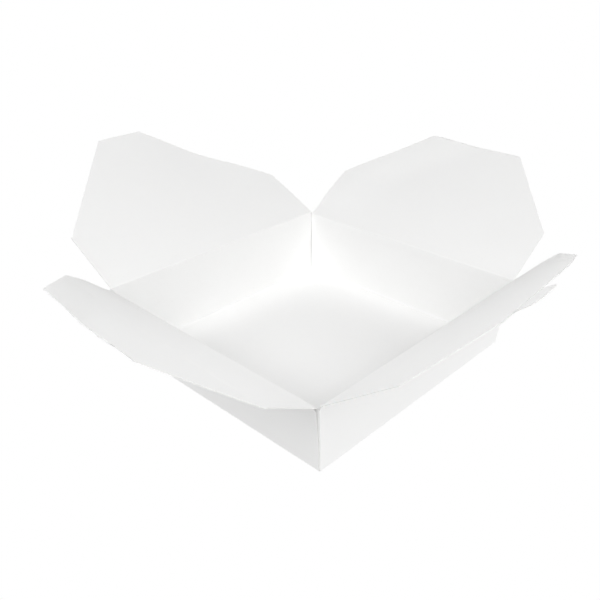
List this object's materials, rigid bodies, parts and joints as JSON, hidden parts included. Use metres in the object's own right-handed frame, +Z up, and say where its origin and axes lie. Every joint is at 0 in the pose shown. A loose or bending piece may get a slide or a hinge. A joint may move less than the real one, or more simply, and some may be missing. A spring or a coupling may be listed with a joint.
{
  "type": "takeout food box",
  "caption": "Shallow folded paperboard takeout box, open, with outward-leaning walls and folding lid flaps, one with a locking tab.",
  "frame": {"origin": "centre of the tray's underside, on the surface that the box stands on", "axes": "+Z up out of the tray, -Y towards the flap with the locking tab, +X to the right seen from there"},
  "size_m": [0.3655, 0.3921, 0.1113],
  "materials": {
    "board": "matte"
  },
  "bodies": {
    "tray": {"tray": "board"},
    "back_flap": {"back_flap": "board"},
    "front_flap": {"front_flap": "board"},
    "left_flap": {"left_flap": "board"},
    "right_flap": {"right_flap": "board"}
  },
  "joints": [
    {"name": "left_fold", "type": "hinge", "parent": "tray", "child": "left_flap", "pos_m": [-0.1, 0, 0.0488], "axis": [0, 1, 0], "range_deg": [-65.5, 150.5]},
    {"name": "right_fold", "type": "hinge", "parent": "tray", "child": "right_flap", "pos_m": [0.1, 0, 0.0488], "axis": [0, -1, 0], "range_deg": [-53.5, 150.5]},
    {"name": "back_fold", "type": "hinge", "parent": "tray", "child": "back_flap", "pos_m": [0, 0.096, 0.05], "axis": [1, 0, 0], "range_deg": [-44.5, 154.5]},
    {"name": "front_fold", "type": "hinge", "parent": "tray", "child": "front_flap", "pos_m": [0, -0.096, 0.05], "axis": [-1, 0, 0], "range_deg": [-70, 138]}
  ]
}
